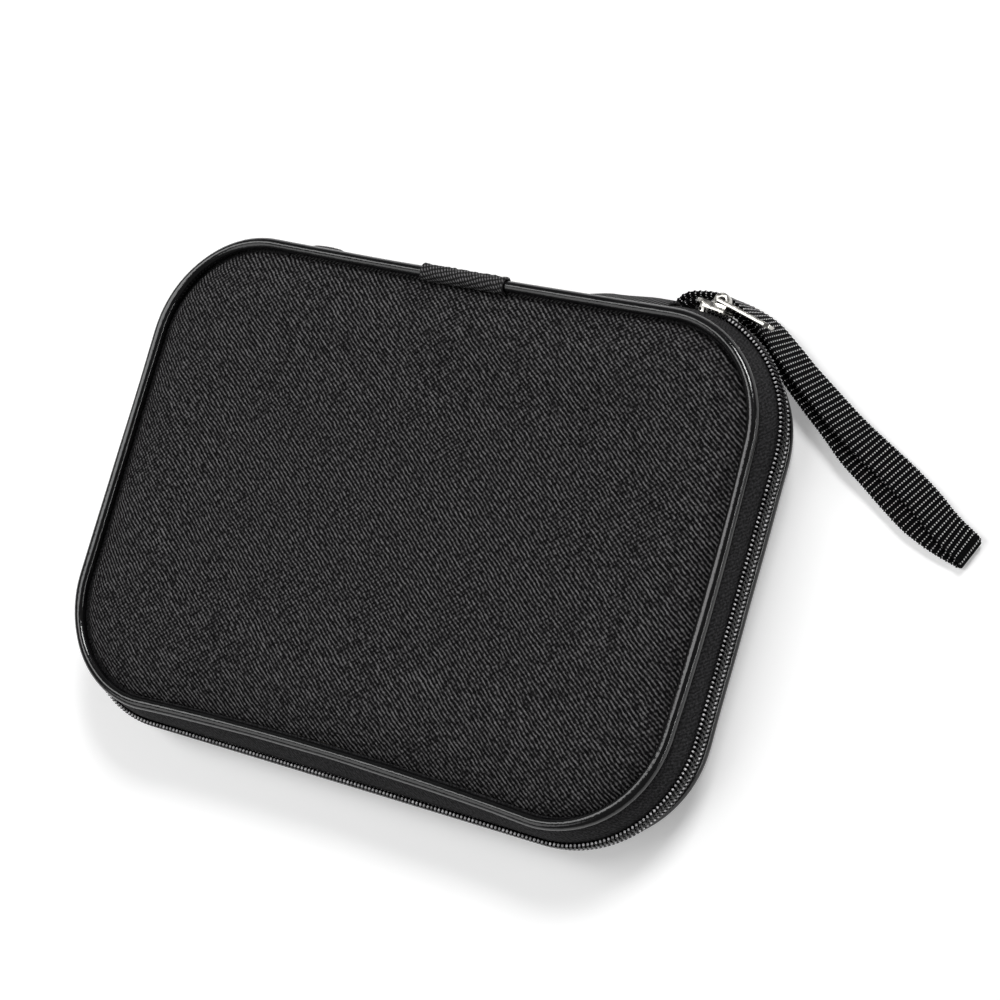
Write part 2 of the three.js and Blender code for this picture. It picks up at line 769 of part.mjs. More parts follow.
// The bands share the length of the lining evenly
const bandRoom = caseLength - 2 * (rimInset + boardInset + bandMargin);
const bandGap = (bandRoom - meterBandSpan - lancingBandSpan - vialBandSpan) / 2;
const meterBandX = (meterBandSpan - bandRoom) / 2;
const vialBandX = (bandRoom - vialBandSpan) / 2;
const lancingBandX = meterBandX + meterBandSpan / 2 + bandGap + lancingBandSpan / 2;
back.add(
  piece('meter_band', elasticBand(meterBandSpan, meterBandWidth, meterBandX), weave),
  piece('lancing_device_band', elasticBand(lancingBandSpan, narrowBandWidth, lancingBandX), weave),
  piece('strip_vial_band', elasticBand(vialBandSpan, narrowBandWidth, vialBandX), weave),
);

// The origin is under the middle of the case, leaving out the loose strap
const zipCase = new THREE.Group();
zipCase.add(front, back, sliderGroup);
const middle = new THREE.Box3().setFromObject(zipCase, true).getCenter(new THREE.Vector3());
zipCase.add(piece('wrist_strap', wristStrap(), weave));
zipCase.position.set(-middle.x, -middle.y, 0);

export default zipCase;
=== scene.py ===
import math
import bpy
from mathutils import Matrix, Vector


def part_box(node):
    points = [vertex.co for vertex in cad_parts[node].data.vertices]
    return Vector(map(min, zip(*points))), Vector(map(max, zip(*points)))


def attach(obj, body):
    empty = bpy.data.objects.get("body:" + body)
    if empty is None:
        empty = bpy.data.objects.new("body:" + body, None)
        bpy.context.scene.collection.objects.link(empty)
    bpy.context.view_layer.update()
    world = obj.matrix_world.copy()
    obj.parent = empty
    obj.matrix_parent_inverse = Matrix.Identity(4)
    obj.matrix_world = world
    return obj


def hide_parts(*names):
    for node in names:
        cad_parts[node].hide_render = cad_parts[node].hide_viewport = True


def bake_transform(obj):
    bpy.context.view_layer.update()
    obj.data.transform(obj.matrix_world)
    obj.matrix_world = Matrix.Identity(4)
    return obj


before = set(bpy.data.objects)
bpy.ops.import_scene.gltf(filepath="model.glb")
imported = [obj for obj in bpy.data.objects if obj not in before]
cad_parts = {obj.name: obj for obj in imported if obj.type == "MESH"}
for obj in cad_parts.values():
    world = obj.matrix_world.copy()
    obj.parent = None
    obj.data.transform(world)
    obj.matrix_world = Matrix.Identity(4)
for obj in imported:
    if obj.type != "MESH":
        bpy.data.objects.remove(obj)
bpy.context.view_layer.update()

from types import SimpleNamespace

import bmesh
import bpy
from mathutils import Matrix, Vector, noise

# Looks for the zip case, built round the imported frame. Shapes are worked out in mm and stored in metres.
mm = 0.001
print("frame loaded,", len(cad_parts), "nodes")


def boxOf(node):
    low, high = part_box(node)
    return low / mm, high / mm


coilLow, coilHigh = boxOf("front_zip_coil")
frontPipingLow, frontPipingHigh = boxOf("front_piping")
backPipingLow = boxOf("back_piping")[0]
spineLow, spineHigh = boxOf("spine_tape")

case = {
    "cornerRadius": 27.4,   # on the centreline of the piping
    "pipingRadius": 1.45,
    "zipOut": 4.0,          # the coil stands this far out from the piping
    "coilHalf": 0.8,
    "zipEndRun": 4.1,       # straight zip past each corner by the spine
    "sliderAngle": 8.5,     # of the slider round its corner
    "tuck": 2.3,            # how far the zip is drawn in where it starts, at the left of the spine
    "tuckRun": 42.0,        # of zip, until it stands out in full
    "tuckFrom": 0.8,        # the tape stays in place up to here from the piping,
    "tuckTo": 3.0,          # and is drawn in by the whole tuck from here on
    "bowTop": -0.37,        # how far each side of the front piping bows out
    "bowLeft": 0.0,
    "bowBottom": -1.64,
    "bowRight": 0.7,
    "lean": 1.4,            # the back half lies this far to the right of the front half
}
coilReach = case["zipOut"] + case["coilHalf"]
halfLength = (coilHigh.x - coilLow.x) / 2 - coilReach
halfWidth = (coilHigh.y - coilLow.y) / 2 - coilReach
midY = (coilHigh.y + coilLow.y) / 2
zipZ = (frontPipingHigh.z + backPipingLow.z) / 2
pipingHeight = (frontPipingHigh.z + frontPipingLow.z) / 2 - zipZ
cornerX = halfLength - case["cornerRadius"]
cornerY = halfWidth - case["cornerRadius"]
spineHalf = cornerX - case["zipEndRun"]
panelHeight = zipZ    # both panels lie this far from the zip's plane


def smooth(t):
    t = min(max(t, 0.0), 1.0)
    return t * t * (3 - 2 * t)


# The rounded track of the case, walked anticlockwise from the spine
def trackLegs(topReach, radius):
    corners = [Vector((-cornerX, cornerY)), Vector((-cornerX, -cornerY)),
               Vector((cornerX, -cornerY)), Vector((cornerX, cornerY))]
    bows = [case["bowTop"], case["bowLeft"], case["bowBottom"], case["bowRight"], case["bowTop"]]
    start = Vector((-topReach, cornerY))
    legs = []
    for i, corner in enumerate(corners):
        facing = math.pi / 2 * (i + 1)
        legs.append((start, facing, 0.0, (corner - start).length, bows[i]))
        legs.append((corner, facing, math.pi / 2, radius * math.pi / 2, 0.0))
        start = corner
    legs.append((start, math.pi * 2.5, 0.0, cornerX - topReach, bows[4]))
    return legs


def station(legs, along):
    left = along
    for start, facing, turn, length, bow in legs:
        if left <= length or (start, facing) == legs[-1][:2]:
            share = left / length if length else 0.0
            angle = facing + turn * share
            out = Vector((math.cos(angle), math.sin(angle)))
            ahead = Vector((-out.y, out.x))
            at = start + out * case["cornerRadius"]
            if turn == 0.0:
                at = at + ahead * left
            side = at.x / cornerX if abs(out.y) > abs(out.x) else at.y / cornerY
            bowed = bow * max(1 - side * side, 0.0)
            return SimpleNamespace(at=at, out=out, ahead=ahead, along=along, bow=bowed)
        left -= length


def trackLength(legs):
    return sum(leg[3] for leg in legs)


def stationsOn(legs, spacing):
    total = trackLength(legs)
    count = round(total / spacing)
    return [station(legs, total * i / count) for i in range(count + 1)]


rimLegs = trackLegs(0.0, case["cornerRadius"])
zipLegs = trackLegs(spineHalf, case["cornerRadius"] + case["zipOut"])


# How far the soft case leans to the right at a height over the zip: the left end more than the right
def leaning(x, height):
    leftShare = 1 - smooth(height / pipingHeight)
    rightShare = smooth(-height / pipingHeight)
    return case["lean"] * (leftShare + (rightShare - leftShare) * smooth(0.5 + x / halfLength / 2))


# A point beside the track: out from the piping's centreline, and up or down from the zip
def rimPoint(place, out, height, side):
    lift = smooth(height / pipingHeight) if side > 0 else 0.0
    flat = place.at + place.out * (out + place.bow * lift)
    return Vector((flat.x + leaning(flat.x, side * height), flat.y + midY, zipZ + side * height))


# The same for the zip, which lies closer to the piping where it starts
def zipPoint(place, out, height, side):
    near = 1 - smooth(place.along / case["tuckRun"])
    share = min(max((out - case["tuckFrom"]) / (case["tuckTo"] - case["tuckFrom"]), 0.0), 1.0)
    return rimPoint(place, out - case["tuck"] * near * share, height, side)


def runningLength(points):
    lengths = [0.0]
    for a, b in zip(points, points[1:]):
        lengths.append(lengths[-1] + math.dist(a, b))
    return lengths


# Centripetal curve through points, at t from 0 to 1
def curveThrough(points, t):
    spans = len(points) - 1
    i = min(int(t * spans), spans - 1)
    w = t * spans - i
    p1, p2 = Vector(points[i]), Vector(points[i + 1])
    p0 = Vector(points[i - 1]) if i > 0 else p1 * 2 - p2
    p3 = Vector(points[i + 2]) if i + 2 <= spans else p2 * 2 - p1
    d0, d1, d2 = (max((b - a).length, 0.0001) ** 0.5 for a, b in ((p0, p1), (p1, p2), (p2, p3)))
    t1 = (p1 - p0) / d0 - (p2 - p0) / (d0 + d1) + (p2 - p1) / d1
    t2 = (p2 - p1) / d1 - (p3 - p1) / (d1 + d2) + (p3 - p2) / d2
    t1, t2 = t1 * d1, t2 * d1
    return p1 + t1 * w + (p2 * 3 - p1 * 3 - t1 * 2 - t2) * w * w + (p1 * 2 - p2 * 2 + t1 + t2) * w ** 3


def curved(points, count):
    return [curveThrough(points, i / count) for i in range(count + 1)]


# Closed section of a strip of cloth that follows a line
def ribbon(line, thickness):
    near, far = [], []
    for i, point in enumerate(line):
        before, after = line[max(i - 1, 0)], line[min(i + 1, len(line) - 1)]
        run = (Vector(after) - Vector(before)).normalized()
        side = Vector((-run.y, run.x)) * thickness / 2
        near.append(Vector(point) + side)
        far.insert(0, Vector(point) - side)
    return near + far + near[:1]


def ringSection(radius, count):
    turns = [2 * math.pi * i / count for i in range(count + 1)]
    return [Vector((math.cos(t) * radius, math.sin(t) * radius)) for t in turns]


# A grid wrapped round a section and along a row of places, with its lengths in mm as its UV map
def wrapGrid(section, places, point):
    bm = bmesh.new()
    weave = bm.loops.layers.uv.new("weave")
    columns, rows = len(places) - 1, len(section) - 1
    bmesh.ops.create_grid(bm, x_segments=columns, y_segments=rows, size=0.5)
    across = runningLength(section)
    spots = {vert: (round((vert.co.x + 0.5) * columns), round((vert.co.y + 0.5) * rows)) for vert in bm.verts}
    for face in bm.faces:
        for loop in face.loops:
            i, j = spots[loop.vert]
            loop[weave].uv = (places[i].along, across[j])
    for vert, (i, j) in spots.items():
        vert.co = point(places[i], section[j])
    bmesh.ops.remove_doubles(bm, verts=bm.verts, dist=0.001)
    ends = [edge for edge in bm.edges if edge.is_boundary]
    if ends:
        bmesh.ops.holes_fill(bm, edges=ends)
    bmesh.ops.recalc_face_normals(bm, faces=bm.faces)
    return bm


def finishPiece(bm, name, material, nodes, body=None):
    bmesh.ops.scale(bm, vec=(mm, mm, mm), verts=bm.verts)
    mesh = bpy.data.meshes.new(name)
    bm.to_mesh(mesh)
    bm.free()
    mesh.polygons.foreach_set("use_smooth", [True] * len(mesh.polygons))
    piece = bpy.data.objects.new(name, mesh)
    bpy.context.scene.collection.objects.link(piece)
    mesh.materials.append(material)
    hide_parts(*nodes)
    if body:
        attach(piece, body)
    return piece


# Camera at the angle of the photograph
cameraView = {
    "place": (342.4, -50.7, 536.2),    # mm, from the middle of the piping on the floor
    "right": (0.83430, 0.27686, -0.47676),
    "down": (0.18824, -0.95585, -0.22566),
    "lens": 93.45,
}


def addCamera():
    right, down = Vector(cameraView["right"]), Vector(cameraView["down"])
    back = right.cross(-down)
    data = bpy.data.cameras.new("photoCamera")
    data.lens = cameraView["lens"]
    data.sensor_width = 36
    camera = bpy.data.objects.new("photoCamera", data)
    turn = Matrix((right, -down, back)).transposed().to_4x4()
    place = (Vector(cameraView["place"]) + Vector((0, midY, 0))) * mm
    camera.matrix_world = Matrix.Translation(place) @ turn
    bpy.context.scene.collection.objects.link(camera)
    bpy.context.scene.camera = camera


addCamera()
print("camera placed")


# Material helpers
def linear(hexColour):
    parts = [int(hexColour[i:i + 2], 16) / 255 for i in (1, 3, 5)]
    return [p / 12.92 if p <= 0.04045 else ((p + 0.055) / 1.055) ** 2.4 for p in parts] + [1.0]


def addNode(tree, kind, inputs=None, **settings):
    node = tree.nodes.new("ShaderNode" + kind)
    for name, value in settings.items():
        setattr(node, name, value)
    for name, value in (inputs or {}).items():
        if isinstance(value, bpy.types.NodeSocket):
            tree.links.new(value, node.inputs[name])
        else:
            node.inputs[name].default_value = value
    return node


def newMaterial(name, **sockets):
    material = bpy.data.materials.new(name)
    material.use_nodes = True
    shader = material.node_tree.nodes["Principled BSDF"]
    for socket, value in sockets.items():
        shader.inputs[socket.replace("_", " ")].default_value = value
    return material, material.node_tree, shader


# Scale of a Wave texture whose bands are this far apart, in the units of its vector
def bandScale(pitch):
    return math.pi / 10 / pitch


def mapped(tree, vector, turn=0.0, scale=1.0, stretch=1.0):
    rotation = (0, 0, math.radians(turn))
    inputs = {"Vector": vector, "Rotation": rotation, "Scale": (scale, scale / stretch, scale)}
    return addNode(tree, "Mapping", inputs).outputs[0]


def placeInMm(tree):
    return mapped(tree, addNode(tree, "TexCoord").outputs["Object"], 0, 1 / mm)


def weaveInMm(tree):
    return addNode(tree, "UVMap", uv_map="weave").outputs[0]


def grain(tree, vector, scale, detail):
    return addNode(tree, "TexNoise", {"Vector": vector, "Scale": scale, "Detail": detail}).outputs["Fac"]


# Bands at a pitch; the other inputs of the texture by name, with _ for a space
def bands(tree, vector, pitch, direction="X", **others):
    inputs = {name.replace("_", " "): value for name, value in others.items()}
    inputs.update({"Vector": vector, "Scale": bandScale(pitch)})
    return addNode(tree, "TexWave", inputs, bands_direction=direction).outputs["Fac"]


def spread(tree, value, low, high, newLow=0.0, newHigh=1.0):
    return addNode(tree, "MapRange", {0: value, 1: low, 2: high, 3: newLow, 4: newHigh}).outputs[0]


def multiplied(tree, value, factor, added=0.0):
    return addNode(tree, "Math", {0: value, 1: factor, 2: added}, operation="MULTIPLY_ADD").outputs[0]


def mixed(tree, factor, a, b):
    return addNode(tree, "Mix", {"Factor": factor, 2: a, 3: b}).outputs[0]


def ramp(tree, factor, stops):
    node = addNode(tree, "ValToRGB", {"Fac": factor})
    elements = node.color_ramp.elements
    while len(elements) < len(stops):
        elements.new(0.5)
    for element, (position, colour) in zip(elements, stops):
        element.position = position
        element.color = linear(colour)
    return node.outputs["Color"]


def paint(tree, shader, factor, stops):
    tree.links.new(ramp(tree, factor, stops), shader.inputs["Base Color"])


def polish(tree, shader, cloud, smoothest, roughest):
    tree.links.new(spread(tree, cloud, 0.3, 0.7, smoothest, roughest), shader.inputs["Roughness"])


def addBump(tree, shader, height, depth):
    bump = addNode(tree, "Bump", {"Height": height, "Distance": depth * mm})
    tree.links.new(bump.outputs[0], shader.inputs["Normal"])


# Polyester twill, woven: dull diagonal ribs broken up where the other threads cross them
twill = {
    "ribPitch": 0.92,
    "ribTurn": -52,
    "crossPitch": 0.95,
    "crossTurn": -130,
    "depth": 0.2,
    "patch": 14.0,      # size of the patches where the crossing threads show more
    "fibres": 2.1,      # to the mm, across a rib
    "float": 2.6,       # length of the floating threads over their width
}


def blackTwill():
    material, tree, shader = newMaterial("wovenPolyesterTwill", Roughness=0.85, Specular_IOR_Level=0.08)
    place = placeInMm(tree)
    alongRibs = mapped(tree, place, twill["ribTurn"])
    ribs = bands(tree, alongRibs, twill["ribPitch"], Distortion=3.8, Detail=3.0, Detail_Scale=0.55,
                 Detail_Roughness=0.6)
    crossings = bands(tree, mapped(tree, place, twill["crossTurn"]), twill["crossPitch"], Distortion=2.6,
                      Detail=3.0, Detail_Scale=0.55)
    patches = spread(tree, grain(tree, place, 1 / twill["patch"], 2.0), 0.4, 0.68, 0.14, 0.36)
    height = mixed(tree, patches, ribs, crossings)
    fibres = grain(tree, mapped(tree, alongRibs, stretch=twill["float"]), twill["fibres"], 1.0)
    shade = multiplied(tree, height, 0.6, multiplied(tree, fibres, 0.9, -0.215))
    paint(tree, shader, shade, [(0.22, "#020203"), (0.55, "#1a191a"), (0.95, "#6a696a")])
    addBump(tree, shader, height, twill["depth"])
    return material


# PVC piping, extruded and bent round a cord: glossy, with a slightly uneven skin
def glossVinyl():
    material, tree, shader = newMaterial("extrudedPvcPiping", IOR=1.53)
    place = placeInMm(tree)
    cloud = grain(tree, place, 0.22, 4.0)
    paint(tree, shader, cloud, [(0.3, "#060607"), (0.75, "#0e0e0f")])
    polish(tree, shader, cloud, 0.1, 0.17)
    addBump(tree, shader, grain(tree, place, 0.9, 2.0), 0.05)
    return material


# Zip tape, woven polyester: a fine close weave that reads as grain
def zipTapeCloth():
    material, tree, shader = newMaterial("wovenZipTape", Roughness=0.8, Specular_IOR_Level=0.25)
    weave = weaveInMm(tree)
    warp = bands(tree, mapped(tree, weave, 32), 0.8, Distortion=5.0, Detail=3.0, Detail_Scale=1.2)
    height = mixed(tree, 0.65, warp, spread(tree, grain(tree, weave, 1.5, 2.0), 0.35, 0.65))
    paint(tree, shader, height, [(0.25, "#030304"), (0.95, "#2e2d2f")])
    addBump(tree, shader, height, 0.2)
    return material


# Ribbed tape, woven grosgrain: round ribs, broken where the threads dip
def ribbedTape(name, pitch, turn, threadPitch=0.42, broken=0.5, pale="#585758"):
    material, tree, shader = newMaterial(name, Roughness=0.78, Specular_IOR_Level=0.28)
    weave = weaveInMm(tree)
    ribs = bands(tree, mapped(tree, weave, turn), pitch, Distortion=1.0 + 2 * broken, Detail=2.0,
                 Detail_Scale=0.9)
    threads = bands(tree, mapped(tree, weave, turn + 78), threadPitch, Distortion=3 * broken, Detail=2.0)
    height = multiplied(tree, ribs, multiplied(tree, threads, broken, 1 - broken))
    paint(tree, shader, height, [(0.2, "#030304"), (0.8, pale)])
    addBump(tree, shader, height, 0.2)
    return material


# Polyester monofilament, drawn and coiled: dark and glossy, with a painted highlight: pale dots painted at
# the bends of each loop
filament = {"bendSpacing": 2.8}    # mm of filament from bend to bend, as in the UV map of the coil: the spacing of the painted highlight dots


def coilMonofilament():
    material, tree, shader = newMaterial("drawnPolyesterMonofilament", IOR=1.57, Specular_IOR_Level=0.3)
    cloud = grain(tree, placeInMm(tree), 0.6, 2.0)
    # painted highlight: pale dots at each bend of the loops, where lamps would glint on the filament
    paintedHighlight = spread(tree, bands(tree, weaveInMm(tree), filament["bendSpacing"]), 0.8, 0.98)
    pale = multiplied(tree, paintedHighlight, spread(tree, cloud, 0.3, 0.6, 0.65, 1.0))
    paint(tree, shader, pale, [(0.0, "#030304"), (0.5, "#4a494b"), (1.0, "#dedddf")])
    polish(tree, shader, cloud, 0.12, 0.2)
    return material


# Nickel plate on cast zinc, tumbled: bright, with small dents and rubbed edges
def nickelPlate():
    material, tree, shader = newMaterial("tumbledNickelPlate", Metallic=1.0)
    cloud = grain(tree, placeInMm(tree), 0.9, 5.0)
    paint(tree, shader, cloud, [(0.3, "#aaa8a3"), (0.7, "#c9c7c1")])
    polish(tree, shader, cloud, 0.16, 0.3)
    addBump(tree, shader, cloud, 0.04)
    return material


# Polypropylene webbing, woven with cross ribs: a row of pale dots of yarn shows on each rib.
# The yarns are finer than a pixel, so they are drawn coarser.
webbing = {
    "width": 7.0,
    "thickness": 1.3,
    "ribPitch": 1.4,
    "ribDepth": 0.5,
    "scallop": 0.75,    # of the edges, rib by rib
    "yarnPitch": 0.6,
}


def ribbedWebbing():
    material, tree, shader = newMaterial("wovenRibbedWebbing", Roughness=0.75, Specular_IOR_Level=0.06)
    weave = weaveInMm(tree)
    ribs = bands(tree, weave, webbing["ribPitch"], Distortion=0.2, Detail=1.0, Detail_Scale=0.6,
                 Phase_Offset=math.pi / 2)
    yarns = bands(tree, weave, webbing["yarnPitch"], "Y", Distortion=0.3, Detail=1.0)
    dots = multiplied(tree, spread(tree, ribs, 0.84, 0.98), spread(tree, yarns, 0.5, 0.8))
    paint(tree, shader, dots, [(0.1, "#040405"), (0.9, "#d4d3d4")])
    addBump(tree, shader, multiplied(tree, yarns, 0.4, ribs), 0.15)
    return material


# Lining, warp knitted: soft, with tiny rows of loops
def knitLining():
    material, tree, shader = newMaterial("warpKnitLining", Roughness=0.95, Specular_IOR_Level=0.15,
                                         Sheen_Weight=0.08)
    place = placeInMm(tree)
    loops = addNode(tree, "TexVoronoi", {"Vector": mapped(tree, place, 45), "Scale": 1.1, "Randomness": 0.25})
    rows = bands(tree, place, 1.2, Distortion=0.4)
    height = multiplied(tree, rows, 0.5, loops.outputs["Distance"])
    paint(tree, shader, height, [(0.15, "#2a2a2c"), (0.95, "#141415")])
    addBump(tree, shader, height, 0.15)
    return material


# Pocket net, knotted polyester yarn: thin dull cords
def netYarn():
    material, tree, shader = newMaterial("knottedNetYarn", Roughness=0.7, Specular_IOR_Level=0.3)
    strands = grain(tree, placeInMm(tree), 2.0, 2.0)
    paint(tree, shader, strands, [(0.3, "#101011"), (0.7, "#2b2b2d")])
    addBump(tree, shader, strands, 0.06)
    return material


# Greyboard, pressed paper pulp: flat, with flecks
def pressedBoard():
    material, tree, shader = newMaterial("pressedGreyboard", Roughness=0.9)
    flecks = grain(tree, placeInMm(tree), 0.7, 5.0)
    paint(tree, shader, flecks, [(0.3, "#5d564c"), (0.7, "#7c7468")])
    addBump(tree, shader, flecks, 0.03)
    return material


materials = SimpleNamespace(
    twill=blackTwill(), vinyl=glossVinyl(), zipTape=zipTapeCloth(), coil=coilMonofilament(),
    nickel=nickelPlate(), webbing=ribbedWebbing(), lining=knitLining(), net=netYarn(), board=pressedBoard(),
    tab=ribbedTape("wovenGrosgrainTab", 0.72, 31, 1.15, 0.8, "#6c6b6c"),
    spine=ribbedTape("wovenSpineTape", 0.9, 35),
    binding=ribbedTape("wovenBindingTape", 0.8, 0), elastic=ribbedTape("wovenElastic", 1.2, 90))
print("materials made")


# Wrist strap: stations of the middle of the loop, x and y from the corner's centre and z from the floor,
# then the lean of the webbing and half the sideways and upright distance of its legs
strap = {
    "stations": [
        (-6.15, 29.25, 4.1, 90, 0.85, 0.0),
        (-6.05, 31.5, 4.2, 90, 0.85, 0.0),
        (-4.45, 33.95, 4.25, 90, 0.85, 0.0),
        (-0.8, 35.1, 4.25, 88, 0.85, 0.0),
        (4.4, 35.2, 4.25, 86, 0.85, 0.1),
        (10.1, 33.55, 4.25, 76, 0.95, 0.3),
        (16.6, 30.0, 4.25, 58, 1.05, 0.65),
        (22.6, 25.5, 4.2, 46, 0.95, 0.85),
        (28.4, 20.8, 3.95, 39, 1.05, 0.8),
        (34.3, 16.4, 3.55, 32, 1.2, 0.75),
        (40.2, 12.1, 3.2, 26, 1.35, 0.75),
        (46.0, 7.9, 2.75, 20, 1.8, 0.65),
        (52.2, 4.1, 2.2, 13, 2.0, 0.4),
        (58.2, 0.3, 1.95, 9, 2.25, 0.4),
        (64.2, -3.5, 1.95, 7, 2.2, 0.45),
        (70.3, -7.0, 1.9, 5, 1.4, 0.6),
        (76.7, -9.8, 1.8, 2, 0.55, 0.7),
    ],
    "ringsPerLeg": 600,
    "foldRings": 14,
    "slopeStep": 0.002,    # of the run of a leg, for its direction
    "edge": 0.35,          # rounding of the webbing's edges, as a share of its thickness
    "edgeSteps": 6,
    "faceSteps": 10,
}


def strapPlaces():
    middles = [(cornerX + s[0], cornerY + midY + s[1], s[2]) for s in strap["stations"]]
    leans = [s[3:] for s in strap["stations"]]
    up = Vector((0, 0, 1))
    count = strap["ringsPerLeg"]
    stations = []
    for i in range(count + 1):
        t = i / count
        middle = curveThrough(middles, t)
        before, after = max(t - strap["slopeStep"], 0), min(t + strap["slopeStep"], 1)
        ahead = (curveThrough(middles, after) - curveThrough(middles, before)).normalized()
        tilt, sideways, rise = curveThrough(leans, t)
        left = up.cross(ahead).normalized()
        turn = math.radians(tilt)
        facing = left * math.sin(turn) + ahead.cross(left) * math.cos(turn)
        stations.append((middle, ahead, facing, ahead.cross(facing), left * sideways + up * rise))
    places = [SimpleNamespace(at=m + apart, face=f, across=a) for m, d, f, a, apart in stations]
    middle, ahead, facing, across, apart = stations[-1]
    for i in range(1, strap["foldRings"]):
        turn = math.pi * i / strap["foldRings"]
        at = middle + apart * math.cos(turn) + ahead * apart.length * math.sin(turn)
        face = facing * math.cos(turn) + ahead * math.sin(turn)
        places.append(SimpleNamespace(at=at, face=face, across=across))
    places += [SimpleNamespace(at=m - apart, face=-f, across=a) for m, d, f, a, apart in reversed(stations)]
    along = runningLength([p.at for p in places])
    for place, length in zip(places, along):
        place.along = length
    return places


def makeStrap():
    places = strapPlaces()
    width, thickness = webbing["width"], webbing["thickness"]
    edge = thickness * strap["edge"]
    flat = width - 2 * edge
    turns = [math.pi * i / strap["edgeSteps"] for i in range(strap["edgeSteps"] + 1)]
    half = [Vector((flat / 2 + edge * math.sin(t), thickness / 2 * math.cos(t))) for t in turns]
    shares = [i / strap["faceSteps"] for i in range(1, strap["faceSteps"])]
    face = [Vector((flat / 2 - flat * share, -thickness / 2)) for share in shares]
    section = half + face + [-p for p in half] + [Vector((-p.x, thickness / 2)) for p in face] + half[:1]

    def point(place, spot):
        lobe = abs(math.cos(math.pi * place.along / webbing["ribPitch"])) - 2 / math.pi
        swell = 1 + webbing["ribDepth"] * lobe
        edgeIn = webbing["scallop"] * lobe * smooth(abs(spot.x) * 2 / width)
        wide = spot.x + math.copysign(edgeIn, spot.x)
        return place.at + place.across * wide + place.face * (spot.y * swell)

    bm = wrapGrid(section, places, point)
    piece = finishPiece(bm, "strapLoop", materials.webbing, ["wrist_strap"], "base")
    path = [p.at * mm for p in places]
    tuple(path[0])
    print("strap made,", round(places[-1].along), "mm of webbing")


makeStrap()


# Padded panels: the cover is draped as cloth over its foam, pinned in the seam beside the piping
panel = {
    "rimOut": -1.7,        # of the seam from the piping's centreline
    "rimHeight": 6.9,      # above the zip's plane
    "rimDepth": 0.3,       # of the cover's edge in the seam
    "backHeight": 7.2,
    "crownRun": 24.0,
    "crownPower": 5.0,
    "restPower": 3.0,      # of the back panel, which is pressed flat
    "cell": 1.9,
    "cap": 0.55,           # most that the cloth may lift or sink
    "frames": 18,
    "simScale": 10.0,      # the cloth is simulated at this many times its size
    "quality": 6,
    "mass": 0.3,
    "stretching": 25,
    "shearing": 10,
    "pressure": 0.02,
    "slack": 0.008,        # share by which the cover is larger than the foam
    "bending": 0.4,
    "give": 0.4,           # share of the cloth's moves that the foam lets through
}


def panelSpot(x, y, halfX, halfY, radius):
    squareX, squareY = halfX - radius, halfY - radius
    s, t = (abs(x) - squareX) / radius, (abs(y) - squareY) / radius
    if s > 0 and t > 0:
        spotX = squareX + radius * s * math.sqrt(1 - t * t / 2)
        spotY = squareY + radius * t * math.sqrt(1 - s * s / 2)
        inset = radius - math.hypot(spotX - squareX, spotY - squareY)
        return math.copysign(spotX, x), math.copysign(spotY, y), inset
    return x, y, min(halfX - abs(x), halfY - abs(y))


def crown(inset, power):
    share = min(inset / panel["crownRun"], 1.0)
    return panel["rimHeight"] + (panelHeight - panel["rimHeight"]) * (1 - (1 - share) ** power)


def panelGrid(power):
    halfX, halfY = halfLength + panel["rimOut"], halfWidth + panel["rimOut"]
    radius = case["cornerRadius"] + panel["rimOut"]
    bm = bmesh.new()
    columns, rows = round(2 * halfX / panel["cell"]), round(2 * halfY / panel["cell"])
    bmesh.ops.create_grid(bm, x_segments=columns, y_segments=rows, size=0.5)
    for vert in bm.verts:
        x, y, inset = panelSpot(vert.co.x * 2 * halfX, vert.co.y * 2 * halfY, halfX, halfY, radius)
        vert.co = (x, y, crown(inset, power))
    return bm


# Blender's cloth, blown up a little from inside and pinned at its rim; returns how far each point moved
def drapeCover(bm):
    start = [vert.co.copy() for vert in bm.verts]
    mesh = bpy.data.meshes.new("coverCloth")
    bm.to_mesh(mesh)
    scale = panel["simScale"] * mm
    mesh.transform(Matrix.Scale(scale, 4))
    cloth = bpy.data.objects.new("coverCloth", mesh)
    bpy.context.scene.collection.objects.link(cloth)
    pinned = cloth.vertex_groups.new(name="seam")
    pinned.add([v.index for v in bm.verts if v.is_boundary], 1.0, "REPLACE")
    modifier = cloth.modifiers.new("cover", "CLOTH")
    settings = modifier.settings
    settings.quality = panel["quality"]
    settings.mass = panel["mass"]
    settings.tension_stiffness = settings.compression_stiffness = panel["stretching"]
    settings.shear_stiffness = panel["shearing"]
    settings.bending_stiffness = panel["bending"]
    settings.vertex_group_mass = "seam"
    settings.shrink_min = -panel["slack"]
    settings.use_pressure = True
    settings.uniform_pressure_force = panel["pressure"]
    settings.effector_weights.gravity = 0.0
    modifier.collision_settings.use_collision = False
    modifier.point_cache.frame_end = panel["frames"]
    scene = bpy.context.scene
    for step in range(1, panel["frames"] + 1):
        scene.frame_set(step)
    settled = cloth.evaluated_get(bpy.context.evaluated_depsgraph_get()).to_mesh()
    moves = [v.co / scale - s for v, s in zip(settled.vertices, start)]
    scene.frame_set(1)
    bpy.data.objects.remove(cloth)
    bpy.data.meshes.remove(mesh)
    return moves


def softCap(move):
    cap = panel["cap"]
    return Vector([cap * math.tanh(part * panel["give"] / cap) for part in move])


